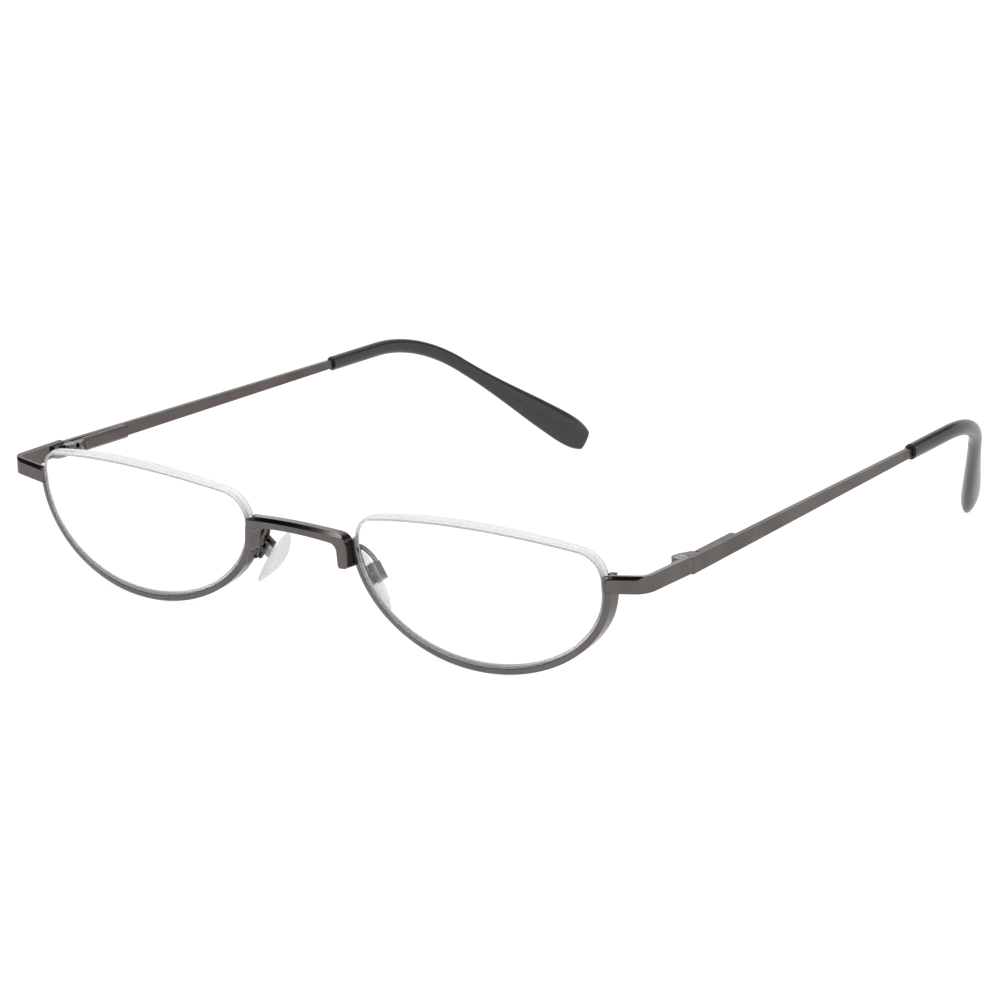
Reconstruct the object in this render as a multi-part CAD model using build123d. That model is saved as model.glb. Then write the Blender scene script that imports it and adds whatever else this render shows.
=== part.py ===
from build123d import *
import os
from math import atan2, cos, degrees, radians, sin, sqrt

# Half-eye reading glasses. Millimetres, +Z up, lenses facing -Y, temples running to +Y.
# Left and right are the wearer's, so left is +X. Every left piece is modelled and mirrored.

# Lens outline, in the lens's own plane, measured from the middle of the lens's box
lens_centre_z = 12.0
front_tilt_angle = 9.4
lens_wrap_angle = 1.2
base_radius = 92.5
lens_width = 48.4
lens_spacing = 23.8
widest_line_rise = 4.0
lower_depth = 15.3
crown_rise = 12.05
crown_radius = 98.0
crown_offset = 1.5
temporal_corner_radius = 4.8
nasal_corner_radius = 5.4
lens_centre_x = (lens_spacing + lens_width) / 2
# How far the lens's curve carries its two sides back from its middle
side_sweep = base_radius - sqrt(base_radius**2 - (lens_width / 2) ** 2)

# Half rim: a channel wire under each lens
rim_height = 1.0
rim_depth = 2.2
rim_channel_width = 0.9
rim_channel_depth = 0.6
lens_seat_gap = 0.05
rim_nasal_end = 5.0
rim_temporal_end = 6.3

# Lens body and its edge groove
lens_centre_thickness = 2.7
lens_back_radius = 125.0
lens_set_back = 0.1
edge_groove_width = 0.8
edge_groove_depth = 0.55
edge_groove_drop = rim_depth / 2

# Nylon liner in the rim's channel and nylon cord over the free lens edge
liner_gap = 0.05
cord_diameter = 0.7
cord_seat = 0.15
cord_tail = 2.4
cord_station_count = 90

# Bridge bar and its two feet
bridge_top_z = 19.05
bridge_under_z = 17.5
bridge_fall = 0.85
bridge_lead = 3.82
bridge_bow = 1.5
bridge_depth = 2.1
foot_overlap = 0.25
foot_width = 1.6
foot_bottom_z = 12.8
foot_splay = 0.35
bridge_outer_radius = 2.4
bridge_inner_radius = 1.5
foot_end_radius = 0.5
bridge_bevel = 0.6
bridge_front_y = side_sweep - bridge_lead

# End piece: front plate, corner and side wall
end_piece_reach = 8.1
end_piece_overlap = 0.8
end_piece_lead = 0.12
end_piece_thickness = 1.1
end_piece_height = 2.6
end_piece_low_z = 16.35
end_piece_climb_angle = 8.2
corner_radius = 2.2
corner_inner_radius = 1.1
end_piece_bevel = 0.7
end_piece_front_y = side_sweep - end_piece_lead
front_width = lens_spacing + 2 * (lens_width + end_piece_reach)

# Hinge and temple set-out
hinge_axis_inset = 2.4
hinge_set_back = 11.6
hinge_axis_z = 19.25
temple_rise_angle = 3.6
toe_in_angle = 2.9
butt_offset = -0.1
butt_gap = 0.06
hinge_axis_y = end_piece_front_y + hinge_set_back

# Hinge leaf, screw, bush and sprung tongue
knuckle_radius = 1.28
hinge_stack = 2.4
eye_thickness = 0.85
knuckle_gap = 0.05
leaf_length = 3.0
leaf_thickness = 0.75
screw_diameter = 1.0
screw_head_diameter = 1.7
screw_head_height = 0.42
screw_slot_width = 0.28
screw_slot_depth = 0.22
running_gap = 0.03
bush_wall = 0.22
eye_radius = 1.22
tongue_block_start = 1.48
tongue_block_end = 3.45
tongue_block_height = 2.2
tongue_side_gap = 0.07
shaft_diameter = 0.45
shaft_head_diameter = 0.86
shaft_head_length = 0.6
shaft_reach = 12.0

# Spring housing on the inside of the temple
housing_thickness = 1.4
housing_start = 3.56
housing_length = 10.5
housing_height = 2.3
housing_bevel = 0.45
housing_end_radius = 0.6
housing_bore = 1.0
housing_end_wall = 0.8
stop_length = 0.8
spring_wire = 0.17
spring_coil_diameter = 0.74
spring_pitch = 0.62
spring_end_gap = 0.06

# Temple bar, core wire and tip
bar_thickness = 1.0
bar_front_height = 2.55
bar_rear_height = 1.45
bar_length = 71.0
core_diameter = 0.9
core_end_cover = 9.0
tip_cover = 3.9
tip_straight = 12.4
tip_bend_radius = 25.0
tip_bend_angle = 47.0
tip_bend_lean_angle = 34.0
ear_length = 31.6
sleeve_gap = 0.04
mouth_height = 2.7
mouth_thickness = 2.3
paddle_width = 6.1
paddle_thickness = 3.1
tip_end_round = 0.5
ear_station_shares = (0.1, 0.2, 0.3, 0.4, 0.5, 0.6, 0.7, 0.8, 0.9, 1.0)
ear_width_shares = (0.46, 0.50, 0.57, 0.66, 0.76, 0.86, 0.94, 1.0, 0.97, 0.62)
ear_thickness_shares = (0.75, 0.77, 0.80, 0.84, 0.89, 0.94, 0.98, 1.0, 0.9, 0.52)
tip_mouth = bar_length - tip_cover
tip_bend_start = tip_mouth + tip_straight

# Pad arm's pad box, shared by the pad and the arm
box_set_back = 4.08
box_centre = (13.0, side_sweep + box_set_back, 11.6)
pad_splay_angle = 35.0
box_length = 3.1
box_width = 2.3
box_depth = 2.35
box_wall = 0.65
box_back = 1.0
box_edge_radius = 0.5
pad_screw_offset = 0.45
pad_screw_diameter = 0.7
pad_screw_head_diameter = 1.1
pad_screw_head_height = 0.3

# Nose pads
pad_flare_angle = 10.0
pad_length = 11.4
pad_width = 4.2
pad_thickness = 1.5
pad_dome_radius = 12.0
pad_drop = 0.7
pad_set_rear = 0.75
pad_stand_off = 0.95
tab_length = 1.7
tab_gap = 0.05
tab_end_gap = 0.25

# Pad arms: wire from the rim's back, up and over to the box
arm_wire = 0.8
arm_foot_set_back = 1.88
arm_foot_y = side_sweep + arm_foot_set_back
arm_rise_back = 0.25
arm_top_back = 0.8
arm_fall_back = 1.6
arm_foot = (12.8, arm_foot_y, 10.4)
arm_rise = (11.5, arm_foot_y + arm_rise_back, 13.6)
arm_top = (10.75, arm_foot_y + arm_top_back, 15.7)
arm_fall = (11.25, arm_foot_y + arm_fall_back, 15.2)

# One overrun serves every cut, and a few rounds find how the glasses rest
overrun = 6.0
seating_rounds = 3


def lens_frame():
    """Place of the left lens: local x outward, y up, z towards the viewer."""
    tilt = (front_tilt_angle, 0, lens_wrap_angle)
    return Location((lens_centre_x, 0, lens_centre_z), tilt) * Plane.XZ.location


def corner_height(side_x, radius):
    """Height of a corner arc's centre that makes the arc meet the crown smoothly."""
    across = side_x - crown_offset
    return crown_rise - crown_radius + sqrt((crown_radius - radius) ** 2 - across**2)


def lens_outline(grow):
    """Face of the lens outline, grown outward by a length."""
    half = lens_width / 2
    temporal_x = half - temporal_corner_radius
    nasal_x = nasal_corner_radius - half
    crown_z = crown_rise - crown_radius
    temporal_z = corner_height(temporal_x, temporal_corner_radius)
    nasal_z = corner_height(nasal_x, nasal_corner_radius)
    temporal_sweep = degrees(atan2(temporal_z - crown_z, temporal_x - crown_offset))
    nasal_start = degrees(atan2(nasal_z - crown_z, nasal_x - crown_offset))
    side = half + grow
    rise = widest_line_rise
    lower = EllipticalCenterArc((0, rise), side, lower_depth + grow, 180, arc_size=180)
    temporal_side = Line((side, rise), (side, temporal_z))
    temporal = CenterArc((temporal_x, temporal_z), temporal_corner_radius + grow, 0, temporal_sweep)
    crown_sweep = nasal_start - temporal_sweep
    crown = CenterArc((crown_offset, crown_z), crown_radius + grow, temporal_sweep, crown_sweep)
    nasal_sweep = 180 - nasal_start
    nasal = CenterArc((nasal_x, nasal_z), nasal_corner_radius + grow, nasal_start, nasal_sweep)
    nasal_side = Line((-side, nasal_z), (-side, rise))
    return make_face([lower, temporal_side, temporal, crown, nasal, nasal_side])


def outline_prism(grow):
    """Lens outline as a long prism through the lens's thickness."""
    length = base_radius / 4
    return Pos(0, 0, -length * 3 / 4) * extrude(lens_outline(grow), length)


def ball(radius, middle_z):
    """Sphere centred on the lens's axis, with its poles away from the lens."""
    return Location((0, 0, middle_z), (90, 0, 0)) * Sphere(radius)


def between_shells(shape, drop, depth):
    """What of a shape lies between two spheres that follow the lens's front."""
    outer = ball(base_radius - drop, -base_radius)
    inner = ball(base_radius - drop - depth, -base_radius)
    return shape & outer - inner


def below_rim_ends(shape, nasal_end, temporal_end):
    """Keep a ring's lower part, up to a height on each side of the middle."""
    reach = lens_width
    nasal = Pos(-reach / 2, nasal_end + reach / 2) * Box(reach, reach, reach)
    temporal = Pos(reach / 2, temporal_end + reach / 2) * Box(reach, reach, reach)
    return shape - nasal - temporal


def make_rim():
    """Half rim with the channel that takes the liner."""
    wire = outline_prism(lens_seat_gap + rim_height) - outline_prism(lens_seat_gap)
    wire = between_shells(wire, 0, rim_depth)
    wire = below_rim_ends(wire, rim_nasal_end, rim_temporal_end)
    channel = outline_prism(lens_seat_gap + rim_channel_depth)
    channel = between_shells(channel, (rim_depth - rim_channel_width) / 2, rim_channel_width)
    return wire - channel


def make_lens():
    """Meniscus lens with a groove all round its edge."""
    blank = outline_prism(0)
    front = ball(base_radius - lens_set_back, -base_radius)
    back_z = -lens_set_back - lens_centre_thickness - lens_back_radius
    blank = blank & front - ball(lens_back_radius, back_z)
    groove = outline_prism(overrun) - outline_prism(-edge_groove_depth)
    groove = between_shells(groove, edge_groove_drop - edge_groove_width / 2, edge_groove_width)
    return blank - groove


def make_liner():
    """Clear strip that fills the rim's channel and the lens groove below the rim's ends."""
    width = edge_groove_width - 2 * liner_gap
    strip = outline_prism(lens_seat_gap + rim_channel_depth - liner_gap)
    strip = strip - outline_prism(liner_gap - edge_groove_depth)
    strip = between_shells(strip, edge_groove_drop - width / 2, width)
    short = cord_tail + liner_gap
    return below_rim_ends(strip, rim_nasal_end - short, rim_temporal_end - short)


def make_cord():
    """Nylon cord in the groove over the lens's free edge, down into the rim's two ends."""
    edge = lens_outline(-cord_seat).face().outer_wire()
    route = []
    for step in range(cord_station_count):
        spot = edge.position_at(step / cord_station_count)
        low = rim_nasal_end if spot.X < 0 else rim_temporal_end
        if spot.Y > low - cord_tail:
            reach = sqrt((base_radius - edge_groove_drop) ** 2 - spot.X**2 - spot.Y**2)
            route.append(Vector(spot.X, spot.Y, reach - base_radius))
    route.sort(key=lambda spot: atan2(spot.Y, spot.X))
    path = Spline(*route)
    return sweep(Plane(path @ 0, z_dir=path % 0) * Circle(cord_diameter / 2), path)


def foot_outer_x():
    """Outer side of a bridge foot, a little way over the rim's nose side."""
    return lens_centre_x - lens_width / 2 - lens_seat_gap - rim_height + foot_overlap


def make_bridge():
    """Arched bar with two feet, bowed forward in plan, bevelled along its front top edge."""
    outer_x = foot_outer_x()
    inner_x = outer_x - foot_width
    corner_top = bridge_top_z - bridge_fall
    corner_under = bridge_under_z - bridge_fall
    top_x = outer_x - foot_splay
    under_x = inner_x - foot_splay
    corners = [
        ((top_x, corner_top), bridge_outer_radius),
        ((outer_x, foot_bottom_z), foot_end_radius),
        ((inner_x, foot_bottom_z), foot_end_radius),
        ((under_x, corner_under), bridge_inner_radius),
    ]
    spots = [spot for spot, radius in corners]
    mirrored = [(-x, z) for x, z in reversed(spots)]
    crown = ThreePointArc((-top_x, corner_top), (0, bridge_top_z), (top_x, corner_top))
    arch = ThreePointArc((-under_x, corner_under), (0, bridge_under_z), (under_x, corner_under))
    face = make_face([crown, arch, Polyline(*spots), Polyline(*mirrored)])
    for (x, z), radius in corners:
        for spot in ((x, z), (-x, z)):
            face = fillet(face.vertices().sort_by_distance((*spot, 0))[0], radius)
    bar = Plane.XZ * Pos(0, 0, -overrun) * extrude(face, 2 * overrun)
    bow_radius = (outer_x**2 + bridge_bow**2) / (2 * bridge_bow)
    tall = 2 * bridge_top_z
    bow = Pos(0, bridge_front_y + bow_radius, bridge_top_z / 2)
    band = bow * (Cylinder(bow_radius, tall) - Cylinder(bow_radius - bridge_depth, tall))
    bar = max((bar & band).solids(), key=lambda solid: solid.volume)
    side_y = bridge_front_y + bow_radius - sqrt(bow_radius**2 - top_x**2)
    middle = -(bridge_top_z - bridge_front_y - bridge_bevel) / sqrt(2)
    side = -(corner_top - side_y - bridge_bevel) / sqrt(2)
    edge = ThreePointArc((-top_x, side), (0, middle), (top_x, side))
    above = Polyline((top_x, side), (top_x, side - overrun), (-top_x, side - overrun), (-top_x, side))
    slope = Plane(origin=(0, 0, 0), x_dir=(1, 0, 0), z_dir=(0, 1, 1))
    bevel = slope * extrude(make_face([edge, above]), 2 * bridge_top_z, both=True)
    return max((bar - bevel).solids(), key=lambda solid: solid.volume)


def hinge_frame():
    """Place of the left hinge axis: local z along the screw, y rearward."""
    spot = (front_width / 2 - hinge_axis_inset, hinge_axis_y, hinge_axis_z)
    return Location(spot, (temple_rise_angle, 0, 0))


def temple_frame():
    """Place of the left temple: the hinge frame turned in by the toe-in."""
    return hinge_frame() * Location((0, 0, 0), (0, 0, toe_in_angle))


def make_end_piece():
    """Front plate, rounded corner and side wall, cut square where the temple butts."""
    end_x = lens_centre_x + lens_width / 2 + lens_seat_gap + rim_height - end_piece_overlap
    outer_x = front_width / 2
    inner_x = outer_x - end_piece_thickness
    back_y = end_piece_front_y + end_piece_thickness
    far_y = hinge_axis_y + butt_offset + end_piece_thickness
    plan = [
        (end_x, end_piece_front_y),
        (outer_x, end_piece_front_y),
        (outer_x, far_y),
        (inner_x, far_y),
        (inner_x, back_y),
        (end_x, back_y),
    ]
    face = make_face(Polyline(*plan, close=True))
    face = fillet(face.vertices().sort_by_distance((*plan[1], 0))[0], corner_radius)
    face = fillet(face.vertices().sort_by_distance((*plan[4], 0))[0], corner_inner_radius)
    wall = extrude(face, 2 * hinge_axis_z)
    low = Vector(end_x, end_piece_front_y, end_piece_low_z)
    slab_frame = Location(low, (temple_rise_angle, -end_piece_climb_angle, 0))
    size = front_width
    slab = slab_frame * Pos(0, 0, end_piece_height / 2) * Box(size, size, end_piece_height)
    piece = wall & slab
    bevel = Pos(0, 0, end_piece_height - end_piece_bevel) * Location((0, 0, 0), (45, 0, 0))
    wedge = slab_frame * bevel * Pos(0, 0, overrun / 2) * Box(size, overrun * 2, overrun)
    piece = piece - wedge
    behind = temple_frame() * Pos(0, butt_offset - butt_gap / 2 + size / 2, 0)
    return piece - behind * Box(size, size, size)


def make_hinge_leaf():
    """Two knuckles and the leaf that joins them to the end piece's side wall."""
    wall_x = hinge_axis_inset - end_piece_thickness
    plate_x = wall_x - leaf_thickness / 2
    leaf = Pos(plate_x, -leaf_length / 2, 0) * Box(leaf_thickness, leaf_length, hinge_stack)
    barrel = Cylinder(knuckle_radius, hinge_stack)
    web = Pos(wall_x / 2, -knuckle_radius / 2, 0) * Box(wall_x, knuckle_radius, hinge_stack)
    body = leaf + barrel + web
    reach = 2 * (leaf_length + knuckle_radius)
    body = body & Pos(wall_x - reach / 2, 0, 0) * Box(reach, reach, hinge_stack)
    slot = Cylinder(eye_radius + 2 * knuckle_gap, eye_thickness + 2 * knuckle_gap)
    mouth = Pos(-overrun / 2, overrun / 2, 0)
    slot = slot + mouth * Box(overrun, overrun, eye_thickness + 2 * knuckle_gap)
    body = body - slot
    return body - screw_shape(running_gap)


def screw_shape(gap):
    """Hinge screw, grown by a gap: a shank the whole way down under a countersunk head."""
    shank_radius = screw_diameter / 2 + gap
    head_radius = screw_head_diameter / 2 + gap
    top = hinge_stack / 2
    shank = Cylinder(shank_radius, hinge_stack)
    head = Pos(0, 0, top - screw_head_height / 2) * Cone(
        shank_radius, head_radius, screw_head_height
    )
    return shank + head


def make_hinge_screw():
    """Screw with a slotted head, flush with the top knuckle."""
    slot = Pos(0, 0, hinge_stack / 2) * Box(screw_head_diameter, screw_slot_width, 2 * screw_slot_depth)
    return screw_shape(0) - slot


def make_hinge_bush():
    """Nylon bush on the screw, inside the tongue's eye."""
    inner = screw_diameter / 2 + running_gap
    return Cylinder(inner + bush_wall, eye_thickness) - Cylinder(inner, eye_thickness)


def shaft_axis_x():
    """Distance of the tongue's shaft from the hinge axis."""
    return hinge_axis_inset - bar_thickness - housing_thickness / 2


def make_tongue():
    """Sprung tongue: eye, shoulder block and headed shaft."""
    bar_face = hinge_axis_inset - bar_thickness
    outer_x = bar_face - tongue_side_gap
    inner_x = bar_face - housing_thickness
    eye = Cylinder(eye_radius, eye_thickness)
    neck = Polyline(
        (-eye_radius, 0),
        (outer_x, 0),
        (outer_x, tongue_block_start),
        (-eye_radius, tongue_block_start),
        close=True,
    )
    neck = Pos(0, 0, -eye_thickness / 2) * extrude(make_face(neck), eye_thickness)
    block = Polyline(
        (outer_x, eye_radius),
        (outer_x, tongue_block_end),
        (inner_x, tongue_block_end),
        (-eye_radius, tongue_block_start),
        (-eye_radius, eye_radius),
        close=True,
    )
    block = Pos(0, 0, -tongue_block_height / 2) * extrude(make_face(block), tongue_block_height)
    block = block - Cylinder(knuckle_radius + 2 * tongue_side_gap, 2 * hinge_stack)
    shaft_length = shaft_reach - tongue_block_end
    shaft = Cylinder(shaft_diameter / 2, shaft_length)
    head = Pos(0, 0, (shaft_length - shaft_head_length) / 2)
    shaft = shaft + head * Cylinder(shaft_head_diameter / 2, shaft_head_length)
    along = Location((shaft_axis_x(), tongue_block_end + shaft_length / 2, 0), (-90, 0, 0))
    body = eye + neck + block + along * shaft
    bush_hole = screw_diameter / 2 + bush_wall + 2 * running_gap
    return body - Cylinder(bush_hole, 2 * hinge_stack)


def make_housing():
    """Closed box on the temple's inner face, bored for the spring."""
    middle = Pos(shaft_axis_x(), housing_start + housing_length / 2, 0)
    box = middle * Box(housing_thickness, housing_length, housing_height)
    rear_edges = box.edges().filter_by(Axis.X).group_by(Axis.Y)[-1]
    box = fillet(rear_edges, housing_end_radius)
    long_edges = box.faces().sort_by(Axis.X)[0].edges().filter_by(Axis.Y)
    box = chamfer(long_edges, housing_bevel)
    bore_length = housing_length - housing_end_wall
    bore = Location((shaft_axis_x(), housing_start + bore_length / 2, 0), (-90, 0, 0))
    return box - bore * Cylinder(housing_bore / 2, bore_length)


def make_spring_stop():
    """Ring in the housing's mouth that the spring pushes on."""
    ring = Cylinder(housing_bore / 2, stop_length)
    ring = ring - Cylinder(shaft_diameter / 2 + running_gap, stop_length)
    return Location((shaft_axis_x(), housing_start + stop_length / 2, 0), (-90, 0, 0)) * ring


def make_closing_spring():
    """Coil between the stop ring and the shaft's head."""
    start = housing_start + stop_length + spring_end_gap + spring_wire / 2
    end = shaft_reach - shaft_head_length - spring_end_gap - spring_wire / 2
    path = Helix(spring_pitch, end - start, spring_coil_diameter / 2)
    wire = sweep(Plane(path @ 0, z_dir=path % 0) * Circle(spring_wire / 2), path)
    return Location((shaft_axis_x(), start, 0), (-90, 0, 0)) * wire


def tip_route():
    """Centre line of the temple inside its tip: straight, bend, straight."""
    bar_x = hinge_axis_inset - bar_thickness / 2
    lean = radians(tip_bend_lean_angle)
    side = Vector(-sin(lean), 0, -cos(lean))
    ahead = Vector(0, 1, 0)
    start = Vector(bar_x, tip_mouth, 0)
    bend_start = Vector(bar_x, tip_bend_start, 0)
    centre = bend_start + side * tip_bend_radius

    def on_bend(angle):
        turn = radians(angle)
        return centre - side * (tip_bend_radius * cos(turn)) + ahead * (tip_bend_radius * sin(turn))

    bend_middle = on_bend(tip_bend_angle / 2)
    bend_end = on_bend(tip_bend_angle)
    turn = radians(tip_bend_angle)
    onward = ahead * cos(turn) + side * sin(turn)
    return start, bend_start, bend_middle, bend_end, onward


def temple_metal(gap):
    """Tapered bar and its core wire, grown by a gap inside the tip."""
    start, bend_start, bend_middle, bend_end, onward = tip_route()
    front = butt_offset + butt_gap / 2 - gap
    rear = front + bar_length + 2 * gap
    bar_x = hinge_axis_inset - bar_thickness / 2
    ends = []
    for y, height in ((front, bar_front_height), (rear, bar_rear_height)):
        plane = Plane(origin=(bar_x, y, 0), x_dir=(1, 0, 0), z_dir=(0, 1, 0))
        ends.append(plane * Rectangle(bar_thickness + 2 * gap, height + 2 * gap))
    bar = loft(ends)
    core_start = Vector(bar_x, rear - bar_thickness, 0)
    core_end = bend_end + onward * (ear_length - core_end_cover + gap)
    path = Wire(
        [
            Line(core_start, bend_start),
            ThreePointArc(bend_start, bend_middle, bend_end),
            Line(bend_end, core_end),
        ]
    )
    core = sweep(Plane(core_start, z_dir=(0, 1, 0)) * Circle(core_diameter / 2 + gap), path)
    return bar + core


def make_tip():
    """Moulded tip over the temple's end, widening to a flat rounded paddle."""
    start, bend_start, bend_middle, bend_end, onward = tip_route()
    along = Vector(0, 1, 0)
    mouth = Plane(start, x_dir=Vector(1, 0, 0).cross(along), z_dir=along)
    route = Wire([Line(start, bend_start), ThreePointArc(bend_start, bend_middle, bend_end)])
    sleeve = sweep(mouth * Ellipse(mouth_height / 2, mouth_thickness / 2), route)
    broad = Vector(1, 0, 0).cross(onward).normalized()
    bend_plane = Plane(bend_end, x_dir=broad, z_dir=onward)
    sections = [bend_plane * Ellipse(mouth_height / 2, mouth_thickness / 2)]
    ear_shares = zip(ear_station_shares, ear_width_shares, ear_thickness_shares)
    for place, width, thickness in ear_shares:
        plane = Plane(bend_end + onward * (ear_length * place), x_dir=broad, z_dir=onward)
        sections.append(plane * Ellipse(paddle_width / 2 * width, paddle_thickness / 2 * thickness))
    ear = loft(sections)
    end = ear.faces().filter_by(GeomType.PLANE).sort_by_distance(sections[-1].center())[0]
    ear = fillet(end.edges(), tip_end_round)
    return sleeve + ear - temple_metal(sleeve_gap)


def box_frame():
    """Place of the left pad box: x down, y towards the front, z towards the nose."""
    splay = radians(pad_splay_angle)
    down = Vector(sin(splay), 0, -cos(splay))
    nose = Vector(-cos(splay), 0, -sin(splay))
    return Plane(origin=box_centre, x_dir=down, z_dir=nose).location


def pad_screw_place():
    """Axis of the pad screw in the box's frame, head to the front."""
    return Location((0, 0, pad_screw_offset), (-90, 0, 0))


def pad_screw_shape(gap):
    """Pad screw, grown by a gap."""
    shank = Cylinder(pad_screw_diameter / 2 + gap, box_width)
    head = Pos(0, 0, (box_width + pad_screw_head_height) / 2)
    return shank + head * Cylinder(pad_screw_head_diameter / 2 + gap, pad_screw_head_height)


def make_pad_screw():
    """Slotted pad screw."""
    top = box_width / 2 + pad_screw_head_height
    slot = Box(pad_screw_head_diameter, screw_slot_width, pad_screw_head_height)
    return pad_screw_place() * (pad_screw_shape(0) - Pos(0, 0, top) * slot)


def make_pad_box():
    """Open box of two cheeks and a back that the pad's tab sits in."""
    block = Box(box_length, box_width, box_depth)
    block = fillet(block.faces().sort_by(Axis.Z)[0].edges(), box_edge_radius)
    slot_width = box_width - 2 * box_wall
    slot = Pos(0, 0, box_back) * Box(2 * box_length, slot_width, box_depth)
    return block - slot - pad_screw_place() * pad_screw_shape(0)


def make_nose_pad():
    """Narrow oval pad, domed on the nose side, with the tab that the screw passes through."""
    oval = extrude(Ellipse(pad_length / 2, pad_width / 2), pad_thickness)
    dome = ball(pad_dome_radius, pad_thickness - pad_dome_radius)
    back_z = box_depth / 2 + pad_stand_off
    plate = Location((pad_drop, -pad_set_rear, back_z), (pad_flare_angle, 0, 0)) * (oval & dome)
    reach = box_depth - box_back - tab_end_gap + pad_stand_off + pad_thickness / 2
    tab_width = box_width - 2 * box_wall - 2 * tab_gap
    tab_z = box_depth / 2 + pad_stand_off + pad_thickness / 2 - reach / 2
    tab = Pos(0, 0, tab_z) * Box(tab_length, tab_width, reach)
    hole = pad_screw_place() * Cylinder(pad_screw_diameter / 2 + running_gap, overrun)
    return plate + tab - hole


def make_pad_arm():
    """Looped wire from the back of the rim to the top of the pad box."""
    seat = (box_frame() * Pos(-box_length / 4, 0, (box_back - box_depth) / 2)).position
    path = Spline(arm_foot, arm_rise, arm_top, arm_fall, seat)
    return sweep(Plane(path @ 0, z_dir=path % 0) * Circle(arm_wire / 2), path)


def single(shape):
    """The shape's largest solid, for a node that is one piece."""
    return max(shape.solids(), key=lambda solid: solid.volume)


def build_left():
    """Every left piece by name, in the object's frame."""
    lens_place = lens_frame()
    hinge_place = hinge_frame()
    temple_place = temple_frame()
    box_place = box_frame()
    end_piece = make_end_piece()
    bridge = make_bridge()
    rim = lens_place * make_rim()
    rim = rim - end_piece - bridge
    box = box_place * make_pad_box()
    arm = make_pad_arm() - rim - box
    pieces = {
        "rim": rim,
        "lens": lens_place * make_lens(),
        "rim_liner": lens_place * make_liner(),
        "lens_cord": lens_place * make_cord(),
        "end_piece": end_piece,
        "hinge_leaf": hinge_place * make_hinge_leaf(),
        "hinge_screw": hinge_place * make_hinge_screw(),
        "hinge_bush": hinge_place * make_hinge_bush(),
        "spring_tongue": temple_place * make_tongue(),
        "spring_housing": temple_place * make_housing(),
        "spring_stop": temple_place * make_spring_stop(),
        "closing_spring": temple_place * make_closing_spring(),
        "temple_bar": temple_place * temple_metal(0),
        "temple_tip": temple_place * make_tip(),
        "pad_arm": arm,
        "pad_box": box,
        "pad_screw": box_place * make_pad_screw(),
        "nose_pad": box_place * make_nose_pad(),
    }
    return bridge, {name: single(shape) for name, shape in pieces.items()}


def resting_place(rim, tip):
    """Turn and lift that set the rims and the tips down on the ground."""
    turn = 0
    for attempt in range(seating_rounds):
        placed = Location((0, 0, 0), (turn, 0, 0))
        front = (placed * rim).bounding_box()
        rear = (placed * tip).bounding_box()
        reach = rear.center().Y - front.center().Y
        turn += degrees(atan2(front.min.Z - rear.min.Z, reach))
    return Location((0, 0, 0), (turn, 0, 0))


def main():
    """Build both sides, set them down with the origin under the middle and write one file per piece."""
    bridge, left = build_left()
    turned = resting_place(left["rim"], left["temple_tip"])
    nodes = {"bridge": turned * bridge}
    for name, shape in left.items():
        nodes["left_" + name] = turned * shape
        nodes["right_" + name] = mirror(turned * shape, about=Plane.YZ)
    box = Compound(list(nodes.values())).bounding_box()
    shift = Pos(0, -(box.min.Y + box.max.Y) / 2, -box.min.Z)
    print("turned by", turned.orientation, "moved by", shift.position)
    print("overall size", box.size)
    os.makedirs("parts", exist_ok=True)
    for name, shape in nodes.items():
        export_step(shift * shape, "parts/" + name + ".step")
    placed = shift * turned
    for name, place in (("hinge", hinge_frame()), ("pad screw", box_frame() * pad_screw_place())):
        print(name, (placed * place).position, "axis", Plane(placed * place).z_dir)
    print("temple direction", Plane(placed * temple_frame()).y_dir)


main()
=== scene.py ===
"""Half eye reading glasses in a white studio, with lower wire rims, sprung temples and black tips."""

import sys
import logging
import math
from dataclasses import dataclass, field
from enum import Enum

import bpy
from mathutils import Matrix, Vector


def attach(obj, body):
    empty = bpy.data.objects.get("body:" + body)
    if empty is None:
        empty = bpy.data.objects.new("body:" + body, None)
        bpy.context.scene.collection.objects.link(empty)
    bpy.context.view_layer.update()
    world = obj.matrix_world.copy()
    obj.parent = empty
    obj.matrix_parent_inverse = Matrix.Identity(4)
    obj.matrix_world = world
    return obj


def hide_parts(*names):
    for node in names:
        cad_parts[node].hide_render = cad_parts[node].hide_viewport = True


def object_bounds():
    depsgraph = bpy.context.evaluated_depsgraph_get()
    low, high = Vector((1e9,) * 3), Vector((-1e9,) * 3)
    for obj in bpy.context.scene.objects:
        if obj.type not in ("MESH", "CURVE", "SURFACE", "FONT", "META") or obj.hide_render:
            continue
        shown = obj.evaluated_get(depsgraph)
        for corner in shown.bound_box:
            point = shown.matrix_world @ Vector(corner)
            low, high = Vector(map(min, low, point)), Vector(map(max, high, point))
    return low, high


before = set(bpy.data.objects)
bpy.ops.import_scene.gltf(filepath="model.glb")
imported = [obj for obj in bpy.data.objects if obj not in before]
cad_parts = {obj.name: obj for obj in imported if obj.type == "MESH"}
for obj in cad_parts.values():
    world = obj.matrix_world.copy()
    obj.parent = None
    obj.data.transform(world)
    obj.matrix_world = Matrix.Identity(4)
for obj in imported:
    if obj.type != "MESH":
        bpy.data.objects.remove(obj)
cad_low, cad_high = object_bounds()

MM = 0.001
HALF = 0.5
CLOUDS_PER_METRE = 160.0
CLOUD_DETAIL = 4.0
MARKS_PER_METRE = 2400.0
SMEARS_PER_METRE = 130.0
FINE_DETAIL = 2.0
CLEAR_UP_TO = 0.35
CLOUDED_FROM = 0.7
SMEAR_FROM = 0.55
SMEAR_FULL = 0.8
EDGE_SAMPLES = 6
BUMP_STRENGTH = 0.4
COAT_ROUGHNESS = 0.06
MERGE_REACH = 1e-7
SMOOTH_FACTOR = 0.5
SMOOTH_ROUNDS = 6
CARD_BLACK = (0.012, 0.012, 0.012)
WHITE = (1.0, 1.0, 1.0)
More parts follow.
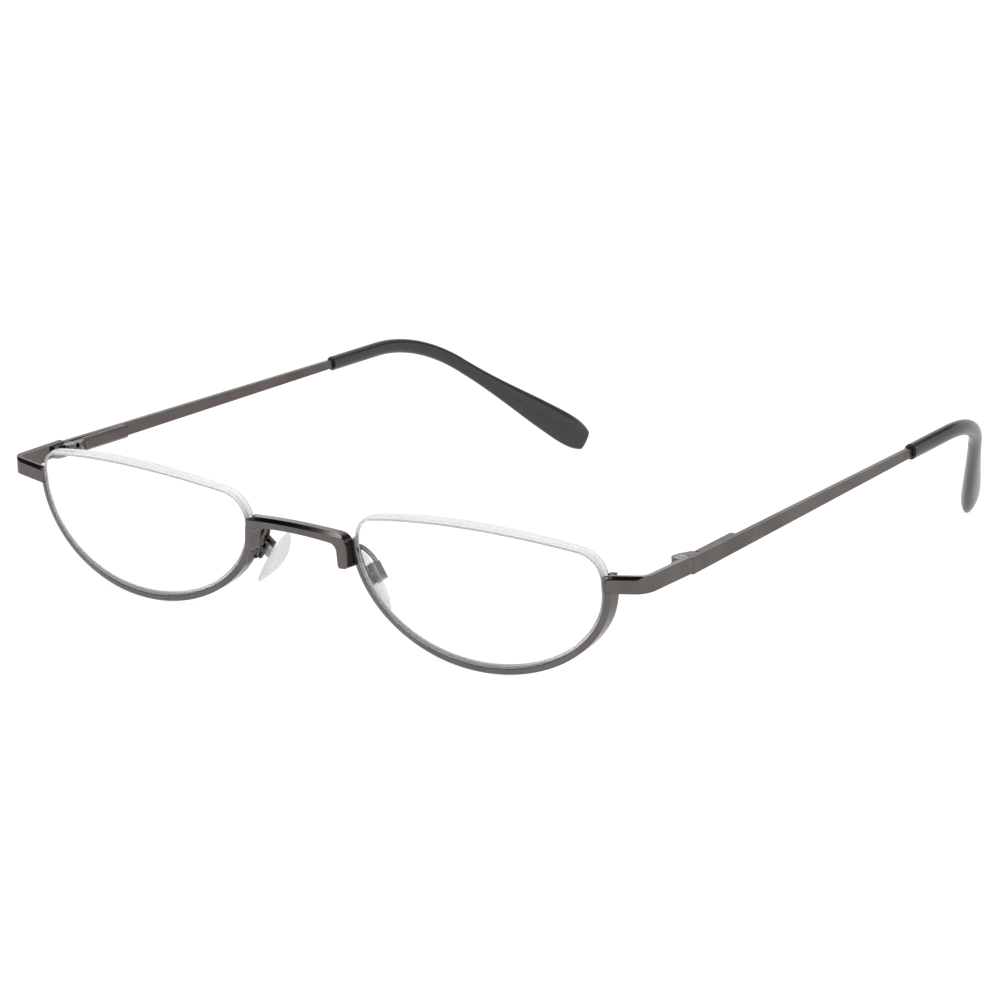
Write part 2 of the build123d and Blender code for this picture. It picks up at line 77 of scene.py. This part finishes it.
NODE_COLUMNS = 8
NODE_STEP = (180, -240)
Colour = tuple[float, float, float]
Point = tuple[float, float, float]

log = logging.getLogger("glasses")


class Side(Enum):
    """The wearer's two sides, with the sign of X on each."""

    LEFT = 1
    RIGHT = -1

    @property
    def word(self) -> str:
        """The start of the names of the pieces on this side."""
        return self.name.lower()


class Ray(Enum):
    """The outputs of a Light Path node that see the white backdrop as pure white."""

    CAMERA = "Is Camera Ray"
    GLOSSY = "Is Glossy Ray"
    TRANSMISSION = "Is Transmission Ray"


class Board:
    """A node tree that is filled one node at a time."""

    def __init__(self, tree: bpy.types.NodeTree) -> None:
        """Starts on an empty tree.

        Args:
            tree: the shader tree or group to fill.
        """
        self.tree = tree
        self.tree.nodes.clear()
        self.count = 0

    def add(self, kind: str, settings: dict | None = None, **values: object) -> bpy.types.Node:
        """Adds a node and fills its sockets.

        Args:
            kind: the node's class name.
            settings: the node's own properties.
            **values: a value or an output for each socket, by its name with spaces as low lines.

        Returns:
            The new node.
        """
        node = self.tree.nodes.new(kind)
        row, column = divmod(self.count, NODE_COLUMNS)
        node.location = (NODE_STEP[0] * column, NODE_STEP[1] * row)
        self.count += 1
        for key, value in (settings or {}).items():
            setattr(node, key, value)
        for key, value in values.items():
            wanted = key.replace("_", " ").strip()
            socket = next(s for s in node.inputs if s.name == wanted and s.enabled)
            self.feed(socket, value)
        return node

    def feed(self, socket: bpy.types.NodeSocket, value: object) -> None:
        """Links an output to a socket, or sets its value.

        Args:
            socket: the socket to fill.
            value: an output socket, a number or a colour.
        """
        if isinstance(value, bpy.types.NodeSocket):
            self.tree.links.new(value, socket)
        elif isinstance(value, tuple) and socket.type == "RGBA":
            socket.default_value = (*value[:3], 1.0)
        else:
            socket.default_value = value

    def math(self, operation: str, *terms: object, clamp: bool = False) -> bpy.types.NodeSocket:
        """Adds a Math node.

        Args:
            operation: the node's operation.
            *terms: its numbers or linked outputs, in order.
            clamp: whether the result is held between 0 and 1.

        Returns:
            The node's output.
        """
        node = self.add("ShaderNodeMath", {"operation": operation, "use_clamp": clamp})
        for socket, term in zip(node.inputs, terms):
            self.feed(socket, term)
        return node.outputs[0]

    def mix(self, share: object, first: object, second: object) -> bpy.types.NodeSocket:
        """Mixes two colours.

        Args:
            share: how much of the second colour shows.
            first: the colour at 0.
            second: the colour at 1.

        Returns:
            The mixed colour.
        """
        node = self.add("ShaderNodeMix", {"data_type": "RGBA"})
        colours = [s for s in node.inputs if s.type == "RGBA"]
        self.feed(node.inputs[0], share)
        self.feed(colours[0], first)
        self.feed(colours[1], second)
        return next(s for s in node.outputs if s.type == "RGBA")

    def noise(self, place: object, scale: float, detail: float = 3.0) -> bpy.types.NodeSocket:
        """Adds a noise texture.

        Args:
            place: the coordinates that it reads.
            scale: cells per metre.
            detail: its octaves.

        Returns:
            Its height, from 0 to 1.
        """
        node = self.add("ShaderNodeTexNoise", Vector=place, Scale=scale, Detail=detail)
        return node.outputs[0]

    def band(
        self, value: object, low: float, high: float, to_low: float, to_high: float
    ) -> bpy.types.NodeSocket:
        """Maps a range of values smoothly onto another.

        Args:
            value: the output to map.
            low: where the range starts.
            high: where it ends.
            to_low: the result at its start.
            to_high: the result at its end.

        Returns:
            The mapped value.
        """
        node = self.add("ShaderNodeMapRange", {"interpolation_type": "SMOOTHSTEP"})
        for socket, number in zip(node.inputs, (value, low, high, to_low, to_high)):
            self.feed(socket, number)
        return node.outputs[0]


def shader_group(name: str, takes: dict[str, str], gives: dict[str, str]) -> tuple[Board, dict, dict]:
    """Starts a shader node group with named inputs and outputs.

    Args:
        name: the group's name.
        takes: socket type of each input.
        gives: socket type of each output.

    Returns:
        The board to fill, the inputs' values by name and the outputs' sockets by name.
    """
    tree = bpy.data.node_groups.new(name, "ShaderNodeTree")
    for label, kind in takes.items():
        tree.interface.new_socket(label, in_out="INPUT", socket_type=kind)
    for label, kind in gives.items():
        tree.interface.new_socket(label, in_out="OUTPUT", socket_type=kind)
    board = Board(tree)
    entry = board.add("NodeGroupInput")
    leave = board.add("NodeGroupOutput")
    takes_by_name = {socket.name: socket for socket in entry.outputs if socket.name}
    gives_by_name = {socket.name: socket for socket in leave.inputs if socket.name}
    return board, takes_by_name, gives_by_name


def wear_group() -> bpy.types.NodeTree:
    """Builds the group that clouds a polished surface and leaves fine marks from handling.

    Returns:
        The group: a colour, a roughness and a height that wander over the surface.
    """
    number, colour, vector = "NodeSocketFloat", "NodeSocketColor", "NodeSocketVector"
    board, takes, gives = shader_group(
        "handling_wear",
        {
            "Place": vector,
            "Colour": colour,
            "Clouded": colour,
            "Roughness": number,
            "Haze": number,
            "Grain": number,
        },
        {"Colour": colour, "Roughness": number, "Height": number},
    )
    cloud = board.noise(takes["Place"], CLOUDS_PER_METRE, CLOUD_DETAIL)
    marks = board.noise(takes["Place"], MARKS_PER_METRE, FINE_DETAIL)
    grain = board.noise(takes["Place"], takes["Grain"], FINE_DETAIL)
    share = board.band(cloud, CLEAR_UP_TO, CLOUDED_FROM, 0.0, 1.0)
    board.feed(gives["Colour"], board.mix(share, takes["Colour"], takes["Clouded"]))
    both = board.math("ADD", cloud, board.math("MULTIPLY", marks, HALF))
    swing = board.math("MULTIPLY", takes["Haze"], both)
    board.feed(gives["Roughness"], board.math("ADD", takes["Roughness"], swing, clamp=True))
    board.feed(gives["Height"], board.math("ADD", grain, board.math("MULTIPLY", cloud, HALF)))
    return board.tree


def edge_group() -> bpy.types.NodeTree:
    """Builds the group that rolls sharp edges over, as polishing does.

    Returns:
        The group: a normal that turns over an edge.
    """
    board, takes, gives = shader_group(
        "rolled_edge", {"Radius": "NodeSocketFloat"}, {"Normal": "NodeSocketVector"}
    )
    roll = board.add("ShaderNodeBevel", {"samples": EDGE_SAMPLES}, Radius=takes["Radius"])
    board.feed(gives["Normal"], roll.outputs[0])
    return board.tree


@dataclass(frozen=True)
class Finish:
    """A finish with wear: what every material of the glasses starts from."""

    name: str
    colour: Colour
    clouded: Colour
    roughness: float
    haze: float
    grain: float
    relief: float
    edge_radius: float
    metallic: float = 0.0
    coat: float = 0.0
    transmission: float = 0.0
    ior: float = 1.5
    specular: float = 0.5

    def material(self) -> bpy.types.Material:
        """Builds the node material once and hands out the same one afterwards.

        Returns:
            The material.
        """
        made = bpy.data.materials.get(self.name)
        if made:
            return made
        made = bpy.data.materials.new(self.name)
        made.use_nodes = True
        made.diffuse_color = (*self.colour, 1.0)
        board = Board(made.node_tree)
        place = board.add("ShaderNodeTexCoord").outputs["Object"]
        wear = board.add("ShaderNodeGroup", {"node_tree": bpy.data.node_groups["handling_wear"]})
        told = {
            "Place": place,
            "Colour": self.colour,
            "Clouded": self.clouded,
            "Roughness": self.roughness,
            "Haze": self.haze,
            "Grain": self.grain,
        }
        for label, value in told.items():
            board.feed(wear.inputs[label], value)
        roll = board.add("ShaderNodeGroup", {"node_tree": bpy.data.node_groups["rolled_edge"]})
        roll.inputs["Radius"].default_value = self.edge_radius
        bump = board.add(
            "ShaderNodeBump",
            Strength=BUMP_STRENGTH,
            Distance=self.relief,
            Height=wear.outputs["Height"],
            Normal=roll.outputs[0],
        )
        shader = board.add(
            "ShaderNodeBsdfPrincipled",
            Base_Color=wear.outputs["Colour"],
            Roughness=wear.outputs["Roughness"],
            Metallic=self.metallic,
            IOR=self.ior,
            Specular_IOR_Level=self.specular,
            Transmission_Weight=self.transmission,
            Coat_Weight=self.coat,
            Coat_Roughness=COAT_ROUGHNESS,
            Normal=bump.outputs[0],
        )
        board.add("ShaderNodeOutputMaterial", Surface=shader.outputs[0])
        return made


@dataclass(frozen=True)
class LensFinish:
    """Clear polished lens with the faintest smears from handling."""

    name: str = "clear_lens"
    colour: Colour = (0.985, 0.990, 0.990)
    smear: float = 0.015
    ior: float = 1.50

    def material(self) -> bpy.types.Material:
        """Builds the node material once and hands out the same one afterwards.

        Returns:
            The material.
        """
        made = bpy.data.materials.get(self.name)
        if made:
            return made
        made = bpy.data.materials.new(self.name)
        made.use_nodes = True
        board = Board(made.node_tree)
        place = board.add("ShaderNodeTexCoord").outputs["Object"]
        hand = board.noise(place, SMEARS_PER_METRE, FINE_DETAIL)
        smears = board.band(hand, SMEAR_FROM, SMEAR_FULL, 0.0, self.smear)
        shader = board.add(
            "ShaderNodeBsdfPrincipled",
            Base_Color=self.colour,
            Roughness=smears,
            IOR=self.ior,
            Transmission_Weight=1.0,
        )
        board.add("ShaderNodeOutputMaterial", Surface=shader.outputs[0])
        return made


GUNMETAL = Finish(
    name="gunmetal_plating",
    colour=(0.135, 0.121, 0.116),
    clouded=(0.112, 0.099, 0.095),
    roughness=0.12,
    haze=0.10,
    grain=9000.0,
    relief=0.4e-6,
    edge_radius=0.12 * MM,
    metallic=1.0,
)
RIM_WIRE = Finish(
    name="rim_wire",
    colour=(0.150, 0.135, 0.130),
    clouded=(0.125, 0.110, 0.105),
    roughness=0.12,
    haze=0.10,
    grain=9000.0,
    relief=0.4e-6,
    edge_radius=0.42 * MM,
    metallic=1.0,
)
TEMPLE_PLATING = Finish(
    name="temple_plating",
    colour=(0.124, 0.108, 0.102),
    clouded=(0.100, 0.086, 0.081),
    roughness=0.20,
    haze=0.12,
    grain=9000.0,
    relief=0.6e-6,
    edge_radius=0.14 * MM,
    metallic=1.0,
)
SCREW_STEEL = Finish(
    name="screw_steel",
    colour=(0.20, 0.19, 0.185),
    clouded=(0.16, 0.15, 0.145),
    roughness=0.22,
    haze=0.12,
    grain=14000.0,
    relief=0.5e-6,
    edge_radius=0.05 * MM,
    metallic=1.0,
)
SPRING_STEEL = Finish(
    name="spring_wire",
    colour=(0.55, 0.54, 0.52),
    clouded=(0.45, 0.44, 0.42),
    roughness=0.25,
    haze=0.10,
    grain=14000.0,
    relief=0.4e-6,
    edge_radius=0.02 * MM,
    metallic=1.0,
)
BRASS = Finish(
    name="stop_brass",
    colour=(0.62, 0.45, 0.20),
    clouded=(0.52, 0.36, 0.15),
    roughness=0.28,
    haze=0.10,
    grain=14000.0,
    relief=0.4e-6,
    edge_radius=0.04 * MM,
    metallic=1.0,
)
NYLON = Finish(
    name="bush_nylon",
    colour=(0.82, 0.82, 0.79),
    clouded=(0.74, 0.74, 0.70),
    roughness=0.45,
    haze=0.10,
    grain=8000.0,
    relief=1.0e-6,
    edge_radius=0.05 * MM,
    ior=1.53,
)
BLACK_TIP = Finish(
    name="black_tip",
    colour=(0.002, 0.002, 0.002),
    clouded=(0.004, 0.004, 0.004),
    roughness=0.14,
    haze=0.10,
    grain=5000.0,
    relief=2.0e-6,
    edge_radius=0.25 * MM,
    ior=1.3,
    specular=0.05,
)
CLEAR_LENS = LensFinish()
GROUND_EDGE = Finish(
    name="ground_edge",
    colour=(0.80, 0.805, 0.805),
    clouded=(0.77, 0.775, 0.775),
    roughness=0.55,
    haze=0.10,
    grain=9000.0,
    relief=1.0e-6,
    edge_radius=0.02 * MM,
    ior=1.50,
)
CLEAR_NYLON = Finish(
    name="clear_nylon",
    colour=(0.90, 0.91, 0.91),
    clouded=(0.84, 0.85, 0.85),
    roughness=0.16,
    haze=0.08,
    grain=9000.0,
    relief=0.6e-6,
    edge_radius=0.05 * MM,
    transmission=0.55,
    ior=1.53,
)
SILICONE = Finish(
    name="clear_silicone",
    colour=(0.985, 0.99, 0.99),
    clouded=(0.95, 0.96, 0.96),
    roughness=0.20,
    haze=0.10,
    grain=6000.0,
    relief=2.0e-6,
    edge_radius=0.1 * MM,
    transmission=1.0,
    ior=1.36,
)


def only(*objects: bpy.types.Object) -> None:
    """Selects these objects and nothing else.

    Args:
        *objects: the objects, the first of which becomes the active one.
    """
    bpy.ops.object.select_all(action="DESELECT")
    for thing in objects:
        thing.select_set(True)
    bpy.context.view_layer.objects.active = objects[0]


def paint(thing: bpy.types.Object, *finishes: "Finish | LensFinish") -> None:
    """Puts finishes on an object's material slots, in order.

    Args:
        thing: the object.
        *finishes: one finish for each slot.
    """
    thing.data.materials.clear()
    for finish in finishes:
        thing.data.materials.append(finish.material())


def joined_copy(node: str, name: str) -> bpy.types.Object:
    """Copies a CAD node and merges its loose triangles into one skin.

    Args:
        node: the CAD node.
        name: the copy's name.

    Returns:
        The copy, at the origin.
    """
    piece = bpy.data.objects.new(name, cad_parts[node].data.copy())
    bpy.context.scene.collection.objects.link(piece)
    only(piece)
    bpy.ops.object.mode_set(mode="EDIT")
    bpy.ops.mesh.select_all(action="SELECT")
    bpy.ops.mesh.remove_doubles(threshold=MERGE_REACH)
    bpy.ops.object.mode_set(mode="OBJECT")
    return piece


@dataclass
class GroundLens:
    """A lens whose edge is ground matt all round, while its two faces stay polished."""

    side: Side
    lean: float = 9.4
    edge_share: float = 0.7
    piece: bpy.types.Object | None = None

    def build(self) -> None:
        """Copies the lens's solid with its smooth shading."""
        node = f"{self.side.word}_lens"
        self.piece = joined_copy(node, f"{self.side.word}_ground_lens")
        normals = [corner.vector.copy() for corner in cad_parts[node].data.corner_normals]
        self.piece.data.normals_split_custom_set(normals)

    def edge_faces(self) -> list[bpy.types.MeshPolygon]:
        """Finds the faces of the lens's edge by their lean from the way it looks.

        Returns:
            The faces of the edge.
        """
        lean = math.radians(self.lean)
        look = Vector((0.0, -math.cos(lean), math.sin(lean)))
        return [face for face in self.piece.data.polygons if abs(face.normal @ look) < self.edge_share]

    def dress(self) -> None:
        """Polishes the faces, grinds the edge and sets the lens in the front."""
        paint(self.piece, CLEAR_LENS, GROUND_EDGE)
        for face in self.edge_faces():
            face.material_index = 1
        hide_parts(f"{self.side.word}_lens")
        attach(self.piece, "front")


@dataclass
class NosePad:
    """A soft clear pad, rounded all over, with its tab in the pad box."""

    side: Side
    voxel: float = 0.11 * MM
    piece: bpy.types.Object | None = None

    def build(self) -> None:
        """Remeshes the pad's solid finely and smooths its edges round."""
        self.piece = joined_copy(f"{self.side.word}_nose_pad", f"{self.side.word}_pad_silicone")
        only(self.piece)
        remesh = self.piece.modifiers.new("skin", "REMESH")
        remesh.mode = "VOXEL"
        remesh.voxel_size = self.voxel
        remesh.use_smooth_shade = True
        bpy.ops.object.modifier_apply(modifier=remesh.name)
        smooth = self.piece.modifiers.new("soft edges", "SMOOTH")
        smooth.factor = SMOOTH_FACTOR
        smooth.iterations = SMOOTH_ROUNDS
        bpy.ops.object.modifier_apply(modifier=smooth.name)

    def dress(self) -> None:
        """Gives the pad its silicone and lets it rock in its box."""
        paint(self.piece, SILICONE)
        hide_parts(f"{self.side.word}_nose_pad")
        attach(self.piece, f"{self.side.word}_pad")


@dataclass
class MetalFrame:
    """The solids that keep their CAD shape, each with its finish."""

    shared: dict[str, "Finish | LensFinish"] = field(
        default_factory=lambda: {
            "rim": RIM_WIRE,
            "rim_liner": CLEAR_NYLON,
            "lens_cord": CLEAR_NYLON,
            "end_piece": GUNMETAL,
            "hinge_leaf": GUNMETAL,
            "hinge_screw": SCREW_STEEL,
            "hinge_bush": NYLON,
            "spring_tongue": GUNMETAL,
            "spring_housing": TEMPLE_PLATING,
            "spring_stop": BRASS,
            "closing_spring": SPRING_STEEL,
            "temple_bar": TEMPLE_PLATING,
            "temple_tip": BLACK_TIP,
            "pad_arm": GUNMETAL,
            "pad_box": GUNMETAL,
            "pad_screw": SCREW_STEEL,
        }
    )

    def dress(self) -> list[str]:
        """Paints the bridge and each side's solids.

        Returns:
            The names of the painted nodes.
        """
        paint(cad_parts["bridge"], GUNMETAL)
        painted = ["bridge"]
        for side in Side:
            for part, finish in self.shared.items():
                node = f"{side.word}_{part}"
                paint(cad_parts[node], finish)
                painted.append(node)
        return painted


@dataclass(frozen=True)
class PhotoView:
    """The camera that the photograph was taken with, worked out from both rims, temples and tips."""

    azimuth: float = 0.6866
    elevation: float = 0.2447
    roll: float = -0.0183
    distance: float = 520.23
    across: float = 33.088
    up: float = 22.026
    turned_up: float = 0.202697
    moved: Point = (0.0, -67.2113, 0.039141)
    lens_length: float = 116.42
    sensor: float = 36.0

    def place(self) -> None:
        """Makes the camera and gives it to the scene."""
        a, e, r = self.azimuth, self.elevation, self.roll
        right = Vector((math.cos(a), math.sin(a), 0.0))
        back = Vector((math.sin(a) * math.cos(e), -math.cos(a) * math.cos(e), math.sin(e)))
        above = back.cross(right)
        turned = right * math.cos(r) + above * math.sin(r)
        top = above * math.cos(r) - right * math.sin(r)
        rest = Matrix.Rotation(math.radians(self.turned_up), 3, "X")
        spot = rest @ (back * self.distance + turned * self.across + top * self.up) + Vector(self.moved)
        turned, top, back = rest @ turned, rest @ top, rest @ back
        data = bpy.data.cameras.new("camera")
        data.lens, data.sensor_width = self.lens_length, self.sensor
        data.clip_start, data.clip_end = 0.01, 50.0
        camera = bpy.data.objects.new("camera", data)
        bpy.context.scene.collection.objects.link(camera)
        facing = Matrix((turned, top, back)).transposed().to_4x4()
        camera.matrix_world = Matrix.Translation(spot * MM) @ facing
        bpy.context.scene.camera = camera


@dataclass(frozen=True)
class Lamp:
    """One soft lamp, aimed at the glasses."""

    name: str
    toward: Point
    distance: float
    size: float
    radiance: float

    def place(self, target: Vector) -> None:
        """Hangs the lamp and turns it to the glasses.

        Args:
            target: the point that it faces.
        """
        data = bpy.data.lights.new(self.name, "AREA")
        data.shape, data.size = "SQUARE", self.size
        data.energy = self.radiance * math.pi * self.size**2
        lamp = bpy.data.objects.new(self.name, data)
        bpy.context.scene.collection.objects.link(lamp)
        away = Vector(self.toward).normalized()
        lamp.location = target + away * self.distance
        lamp.rotation_euler = away.to_track_quat("Z", "Y").to_euler()


@dataclass(frozen=True)
class BlackCard:
    """A black card that only polished surfaces see, for the dark bands in the plating."""

    name: str
    toward: Point
    distance: float
    width: float
    height: float

    def place(self, target: Vector) -> bpy.types.Object:
        """Stands the card in the studio.

        Args:
            target: the point that it faces.

        Returns:
            The card.
        """
        away = Vector(self.toward).normalized()
        bpy.ops.mesh.primitive_plane_add(size=1.0)
        card = bpy.context.active_object
        card.name = self.name
        card.scale = (self.width, self.height, 1.0)
        card.location = target + away * self.distance
        card.rotation_euler = away.to_track_quat("Z", "Y").to_euler()
        card.visible_camera = card.visible_diffuse = False
        card.visible_shadow = card.visible_transmission = False
        made = bpy.data.materials.new(self.name)
        made.use_nodes = True
        board = Board(made.node_tree)
        dark = board.add("ShaderNodeBsdfDiffuse", Color=CARD_BLACK)
        board.add("ShaderNodeOutputMaterial", Surface=dark.outputs[0])
        card.data.materials.append(made)
        return card


@dataclass
class Studio:
    """The white table, the backdrop's light, the lamps and the black cards."""

    floor_size: float = 60.0
    floor_colour: Colour = (0.86, 0.86, 0.86)
    ambient: float = 0.50
    shadow_share: float = 0.22
    glow: float = 1.2
    lamps: tuple[Lamp, ...] = (
        Lamp("key_lamp", (-0.05, -0.27, 0.96), 0.7, 0.36, 6.5),
        Lamp("side_lamp", (0.80, -0.10, 0.60), 0.9, 0.25, 3.0),
    )
    cards: tuple[BlackCard, ...] = (
        BlackCard("left_card", (-0.70, -0.24, 0.67), 0.60, 0.48, 0.48),
        BlackCard("back_card", (0.235, 0.75, 0.61), 0.70, 0.45, 0.30),
    )

    @staticmethod
    def seen(board: Board) -> bpy.types.NodeSocket:
        """Adds the mask of the rays that see the backdrop as white.

        Args:
            board: the material or world to fill.

        Returns:
            1 on those rays and 0 on the others.
        """
        path = board.add("ShaderNodeLightPath")
        camera, glossy, through = (path.outputs[ray.value] for ray in Ray)
        return board.math("MAXIMUM", board.math("MAXIMUM", camera, glossy), through)

    def world(self) -> None:
        """Lights the scene evenly and shows the seen rays plain white."""
        world = bpy.data.worlds.new("studio")
        world.use_nodes = True
        bpy.context.scene.world = world
        board = Board(world.node_tree)
        seen = self.seen(board)
        level = board.math("ADD", board.math("MULTIPLY", seen, 1.0 - self.ambient), self.ambient)
        light = board.add("ShaderNodeBackground", Color=WHITE, Strength=level)
        board.add("ShaderNodeOutputWorld", Surface=light.outputs[0])

    def floor(self) -> None:
        """Lays the table, which shows white and keeps a faint shadow."""
        bpy.ops.mesh.primitive_plane_add(size=self.floor_size, location=(0, 0, 0))
        table = bpy.context.active_object
        table.name = "table"
        made = bpy.data.materials.new("table_white")
        made.use_nodes = True
        board = Board(made.node_tree)
        lit = board.add("ShaderNodeBsdfDiffuse", Color=self.floor_colour)
        glow = board.add("ShaderNodeEmission", Color=WHITE, Strength=self.glow)
        share = board.math("MULTIPLY", self.seen(board), 1.0 - self.shadow_share)
        both = board.add("ShaderNodeMixShader")
        for socket, value in zip(both.inputs, (share, lit.outputs[0], glow.outputs[0])):
            board.feed(socket, value)
        board.add("ShaderNodeOutputMaterial", Surface=both.outputs[0])
        table.data.materials.append(made)

    def build(self, target: Vector) -> None:
        """Sets up the whole studio.

        Args:
            target: the middle of the glasses.
        """
        bpy.context.scene.view_settings.view_transform = "Standard"
        self.world()
        self.floor()
        for lamp in self.lamps:
            lamp.place(target)
        for card in self.cards:
            card.place(target)


def main() -> None:
    """Builds the groups, the glasses and the studio, and reports each piece."""
    logging.basicConfig(level=logging.INFO, format="%(name)s: %(message)s", stream=sys.stdout)
    PhotoView().place()
    wear_group()
    edge_group()
    for node in MetalFrame().dress():
        log.info("painted %s", node)
    for side in Side:
        for thing in (GroundLens(side), NosePad(side)):
            thing.build()
            thing.dress()
            log.info("%s: %d faces", thing.piece.name, len(thing.piece.data.polygons))
    Studio().build((cad_low + cad_high) / 2)


if __name__ == "__main__":
    main()
